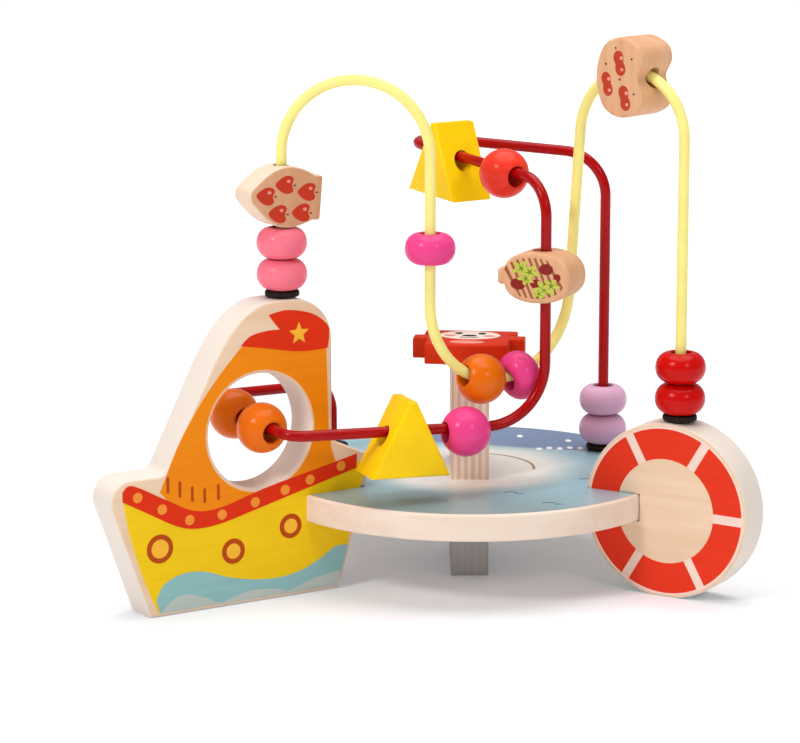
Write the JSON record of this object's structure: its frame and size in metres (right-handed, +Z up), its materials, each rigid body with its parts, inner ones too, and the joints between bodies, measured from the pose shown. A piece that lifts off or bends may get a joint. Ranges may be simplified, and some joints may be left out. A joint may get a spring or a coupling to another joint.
{
  "type": "wooden bead maze toy",
  "caption": "Tabletop bead maze: a round tray held between a ship-shaped board and a ring-buoy board, with bent wires carrying sliding wooden beads.",
  "frame": {"origin": "middle of the centre post's foot, on the floor and on the tray's axis", "axes": "+X to the right along the front of the toy, +Y to the back, +Z up"},
  "size_m": [0.2407, 0.1615, 0.2031],
  "materials": {
    "board_wood": "satin lacquer over pale plywood",
    "coral_paint": "printed and lacquered",
    "yellow_enamel": "gloss enamel",
    "red_enamel": "gloss enamel",
    "black_rubber": "soft matte",
    "pink_paint": "gloss paint on turned wood",
    "printed_wood": "printed face on sawn wood",
    "magenta_paint": "gloss paint on turned wood",
    "orange_paint": "gloss paint on turned wood",
    "red_paint": "gloss paint on turned wood",
    "lilac_paint": "gloss paint on turned wood",
    "yellow_paint": "gloss paint on sawn wood"
  },
  "bodies": {
    "maze_frame": {"ship_panel": "board_wood", "ring_buoy_panel": "board_wood", "tray": "board_wood", "centre_post": "board_wood", "figure_plate": "coral_paint", "plate_pin": "board_wood", "yellow_wire": "yellow_enamel", "red_wire": "red_enamel", "stopper_ship": "black_rubber", "stopper_ring": "black_rubber", "stopper_tray_right": "black_rubber", "stopper_tray_left": "black_rubber"},
    "pink_bead_lower": {"pink_bead_lower": "pink_paint"},
    "pink_bead_upper": {"pink_bead_upper": "pink_paint"},
    "heart_fish_bead": {"heart_fish_bead": "printed_wood"},
    "magenta_bead_leg": {"magenta_bead_leg": "magenta_paint"},
    "orange_ball_dip": {"orange_ball_dip": "orange_paint"},
    "magenta_bead_dip": {"magenta_bead_dip": "magenta_paint"},
    "bean_bead": {"bean_bead": "printed_wood"},
    "red_bead_lower": {"red_bead_lower": "red_paint"},
    "red_bead_upper": {"red_bead_upper": "red_paint"},
    "lilac_bead_lower": {"lilac_bead_lower": "lilac_paint"},
    "lilac_bead_upper": {"lilac_bead_upper": "lilac_paint"},
    "yellow_wedge_loop": {"yellow_wedge_loop": "yellow_paint"},
    "red_ball_loop": {"red_ball_loop": "red_paint"},
    "striped_loaf_bead": {"striped_loaf_bead": "printed_wood"},
    "magenta_ball_front": {"magenta_ball_front": "magenta_paint"},
    "yellow_wedge_front": {"yellow_wedge_front": "yellow_paint"},
    "orange_ball_hole_front": {"orange_ball_hole_front": "orange_paint"},
    "orange_ball_hole_back": {"orange_ball_hole_back": "orange_paint"}
  },
  "joints": [
    {"name": "pink_lower_slide", "type": "slide", "parent": "maze_frame", "child": "pink_bead_lower", "axis": [0, 0, 1], "range_m": [0, 0.003]},
    {"name": "pink_upper_slide", "type": "slide", "parent": "pink_bead_lower", "child": "pink_bead_upper", "axis": [0, 0, 1], "range_m": [0, 0.003]},
    {"name": "heart_fish_slide", "type": "slide", "parent": "pink_bead_upper", "child": "heart_fish_bead", "axis": [0, 0, 1], "range_m": [0, 0.006]},
    {"name": "magenta_leg_slide", "type": "slide", "parent": "maze_frame", "child": "magenta_bead_leg", "axis": [0, 0, 1], "range_m": [-0.013, 0.027]},
    {"name": "orange_dip_swing", "type": "hinge", "parent": "maze_frame", "child": "orange_ball_dip", "pos_m": [0.0097, -0.0325, 0.10872], "axis": [-0.5735, 0.8192, 0], "range_deg": [0, 50]},
    {"name": "magenta_dip_swing", "type": "hinge", "parent": "maze_frame", "child": "magenta_bead_dip", "pos_m": [0.0115, -0.03172, 0.10871], "axis": [0.5734, -0.8192, -0.0129], "range_deg": [0, 50]},
    {"name": "bean_swing", "type": "hinge", "parent": "maze_frame", "child": "bean_bead", "pos_m": [0.05785, -0.02815, 0.16675], "axis": [0.6806, 0.7327, 0], "range_deg": [-35, 35]},
    {"name": "red_lower_slide", "type": "slide", "parent": "maze_frame", "child": "red_bead_lower", "axis": [0, 0, 1], "range_m": [0, 0.02]},
    {"name": "red_upper_slide", "type": "slide", "parent": "red_bead_lower", "child": "red_bead_upper", "axis": [0, 0, 1], "range_m": [0, 0.04]},
    {"name": "lilac_lower_slide", "type": "slide", "parent": "maze_frame", "child": "lilac_bead_lower", "axis": [0, 0, 1], "range_m": [0, 0.025]},
    {"name": "lilac_upper_slide", "type": "slide", "parent": "lilac_bead_lower", "child": "lilac_bead_upper", "axis": [0, 0, 1], "range_m": [0, 0.045]},
    {"name": "loop_wedge_slide", "type": "slide", "parent": "maze_frame", "child": "yellow_wedge_loop", "axis": [0.5472, -0.8349, -0.059], "range_m": [-0.007, 0.008]},
    {"name": "loop_ball_slide", "type": "slide", "parent": "maze_frame", "child": "red_ball_loop", "axis": [0.5472, -0.8349, -0.059], "range_m": [-0.006, 0.005]},
    {"name": "striped_loaf_slide", "type": "slide", "parent": "maze_frame", "child": "striped_loaf_bead", "axis": [0, 0, 1], "range_m": [-0.014, 0.011]},
    {"name": "front_ball_slide", "type": "slide", "parent": "maze_frame", "child": "magenta_ball_front", "axis": [-0.9325, -0.3602, 0.0272], "range_m": [-0.0025, 0.0025]},
    {"name": "front_wedge_slide", "type": "slide", "parent": "maze_frame", "child": "yellow_wedge_front", "axis": [-0.9325, -0.3602, 0.0272], "range_m": [-0.003, 0.024]},
    {"name": "hole_front_ball_slide", "type": "slide", "parent": "maze_frame", "child": "orange_ball_hole_front", "axis": [-0.5286, 0.8459, 0.0715], "range_m": [-0.004, 0.0008]},
    {"name": "hole_back_ball_slide", "type": "slide", "parent": "maze_frame", "child": "orange_ball_hole_back", "axis": [-0.5286, 0.8459, 0.0715], "range_m": [-0.0008, 0.0055]}
  ]
}
